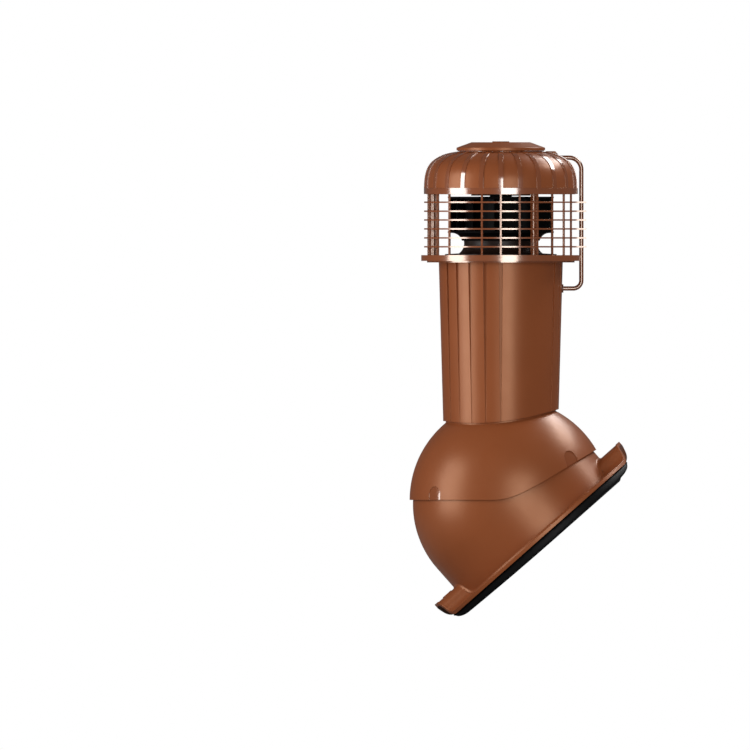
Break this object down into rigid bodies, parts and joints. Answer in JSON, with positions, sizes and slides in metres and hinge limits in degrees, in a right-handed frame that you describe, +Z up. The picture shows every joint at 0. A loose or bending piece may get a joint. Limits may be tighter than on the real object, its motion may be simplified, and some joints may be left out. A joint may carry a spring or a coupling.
{
  "type": "roof vent",
  "caption": "Fan-assisted roof vent with a ribbed cap over a ringed cage, a tapered stack, a tilting hood and a flashing shaped for a wavy roof.",
  "frame": {"origin": "on the stack's axis, at the lower end of the duct", "axes": "+Z up along the duct's axis, +Y up the slope towards the rear, +X across the slope and along the hood's tilt axis"},
  "size_m": [0.408, 0.3968, 0.8567],
  "materials": {
    "brown_satin": "satin brown injection-moulded plastic",
    "brown_gloss": "glossy brown injection-moulded plastic",
    "brown_dark": "dark brown plastic",
    "black_plastic": "glossy black glass-filled plastic",
    "black_rubber": "matt black rubber foam",
    "foam": "grey insulation foam",
    "duct": "dark grey duct plastic",
    "steel": "zinc-plated steel",
    "bearing": "ground bearing steel",
    "motor": "cast aluminium and laminated core"
  },
  "bodies": {
    "flashing": {"base_flashing": "brown_satin", "flashing_seal": "black_rubber"},
    "head": {"tilt_hood": "brown_satin", "duct_shelf": "brown_satin", "inner_sleeve": "brown_satin", "stack_casing": "brown_satin", "duct_pipe": "duct", "insulation_sleeve": "foam", "cage": "brown_gloss", "inlet_nozzle": "brown_dark", "dome_cap": "brown_satin", "crown_plate": "brown_satin", "crown_plug": "brown_satin", "fan_mount_plate": "steel", "motor_stator": "motor", "bearing_upper": "bearing", "bearing_lower": "bearing", "cage_screw_1": "steel", "cage_screw_2": "steel", "cage_screw_3": "steel", "motor_screw_1": "steel", "motor_screw_2": "steel", "motor_screw_3": "steel", "conduit_tube": "brown_gloss", "conduit_gland": "brown_dark", "conduit_grommet": "brown_dark"},
    "rotor": {"rotor_can": "steel", "rotor_shaft": "bearing", "impeller": "black_plastic"}
  },
  "joints": [
    {"name": "hood_tilt", "type": "hinge", "parent": "flashing", "child": "head", "pos_m": [0, 0.0158, 0.0813], "axis": [1, 0, 0], "range_deg": [-4, 15]},
    {"name": "fan_spin", "type": "hinge", "parent": "head", "child": "rotor", "pos_m": [0, 0, 0.6], "axis": [0, 0, 1], "continuous": true}
  ]
}
